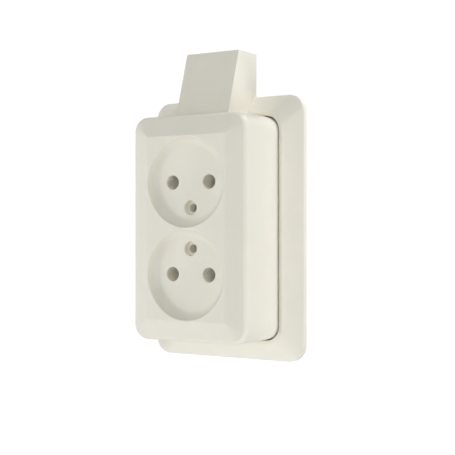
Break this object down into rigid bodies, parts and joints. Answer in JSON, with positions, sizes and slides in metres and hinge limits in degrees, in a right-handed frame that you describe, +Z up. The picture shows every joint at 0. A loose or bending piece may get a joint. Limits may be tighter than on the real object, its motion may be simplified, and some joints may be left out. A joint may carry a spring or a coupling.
{
  "type": "double wall socket",
  "caption": "Surface mounted double wall socket for round two-pin plugs, with a bevelled cap, a wall frame and a cable hood.",
  "frame": {"origin": "on the wall, behind the middle of the two wells, in the plane of the base's back face", "axes": "+X to the right as seen from the front, +Y into the wall, +Z up"},
  "size_m": [0.0794, 0.0385, 0.1394],
  "materials": {
    "frame_plastic": "moulded cream, satin gloss",
    "cap_plastic": "moulded cream, satin gloss",
    "hood_plastic": "moulded cream, satin gloss",
    "base_thermoset": "moulded dark thermoset, dull",
    "block_thermoset": "moulded ivory thermoset, dull",
    "strip_brass": "rolled brass",
    "contact_brass": "turned and pressed brass",
    "spring_steel": "drawn spring wire",
    "zinc_steel": "zinc plated",
    "grommet_rubber": "soft black rubber"
  },
  "bodies": {
    "root": {"wall_frame": "frame_plastic", "socket_cap": "cap_plastic", "cable_hood": "hood_plastic", "base_plate": "base_thermoset", "upper_block": "block_thermoset", "lower_block": "block_thermoset", "block_screws": "zinc_steel", "left_busbar": "strip_brass", "right_busbar": "strip_brass", "strip_screws": "zinc_steel", "contact_upper_left": "contact_brass", "contact_upper_right": "contact_brass", "contact_lower_left": "contact_brass", "contact_lower_right": "contact_brass", "spring_upper_left": "spring_steel", "spring_upper_right": "spring_steel", "spring_lower_left": "spring_steel", "spring_lower_right": "spring_steel", "contact_rivets": "contact_brass", "left_terminal": "strip_brass", "right_terminal": "strip_brass", "terminal_screws": "zinc_steel", "pole_barrier": "block_thermoset", "cord_clamp": "block_thermoset", "clamp_screws": "zinc_steel", "entry_grommet": "grommet_rubber", "cap_inserts": "strip_brass"}
  },
  "joints": []
}
